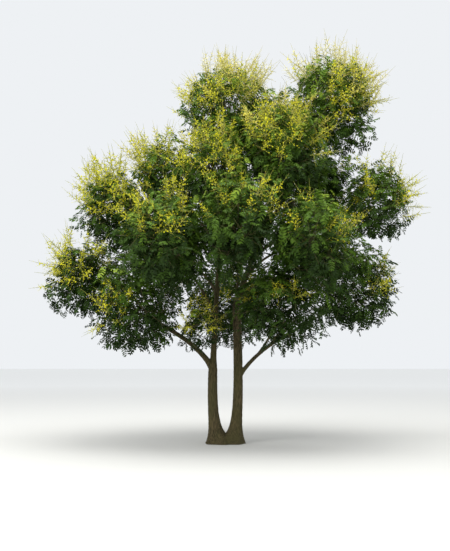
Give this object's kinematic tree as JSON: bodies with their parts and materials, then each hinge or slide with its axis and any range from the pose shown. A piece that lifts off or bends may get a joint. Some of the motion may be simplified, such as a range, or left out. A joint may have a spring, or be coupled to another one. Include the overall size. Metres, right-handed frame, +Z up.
{
  "type": "goldenrain tree",
  "caption": "Two-stemmed goldenrain tree in bloom, with a wide round crown of leaf sprays and upright flower heads.",
  "frame": {"origin": "on the flat cut at ground level, in the middle of the root crown between the two stems", "axes": "+Z up, +X to the right of the side that the picture shows, +Y away from that side"},
  "size_m": [7.9421, 6.6823, 8.5872],
  "materials": {
    "bark": "ridged bark, matt",
    "leaves": "leaf, satin",
    "blossom": "leaf and small flowers, matt"
  },
  "bodies": {
    "root": {"trunk": "bark", "bough_left_dome": "bark", "bough_left_wing": "bark", "bough_right_dome": "bark", "bough_right_low": "bark", "bough_left_low": "bark", "bough_low_sprig": "bark", "bough_left_upper_wing": "bark", "bough_back_low": "bark", "bough_front_left": "bark", "bough_back_left": "bark", "bough_left_shoulder": "bark", "bough_front_heart": "bark", "bough_back_mid": "bark", "bough_front_mid": "bark", "bough_right_tip": "bark", "bough_right_shoulder": "bark", "bough_back_right": "bark", "bough_front_top": "bark", "bough_back_top": "bark", "bough_front_low": "bark", "bough_front_right": "bark", "foliage_left_dome": "blossom", "foliage_right_dome": "blossom", "foliage_right_shoulder": "leaves", "foliage_right_tip": "leaves", "foliage_right_low": "leaves", "foliage_left_shoulder": "blossom", "foliage_left_upper_wing": "blossom", "foliage_left_wing": "blossom", "foliage_left_low": "leaves", "foliage_low_sprig": "blossom", "foliage_front_left": "leaves", "foliage_front_mid": "leaves", "foliage_front_right": "leaves", "foliage_front_low": "leaves", "foliage_front_top": "blossom", "foliage_front_heart": "blossom", "foliage_back_left": "leaves", "foliage_back_mid": "leaves", "foliage_back_right": "leaves", "foliage_back_top": "blossom", "foliage_back_low": "leaves"}
  },
  "joints": []
}
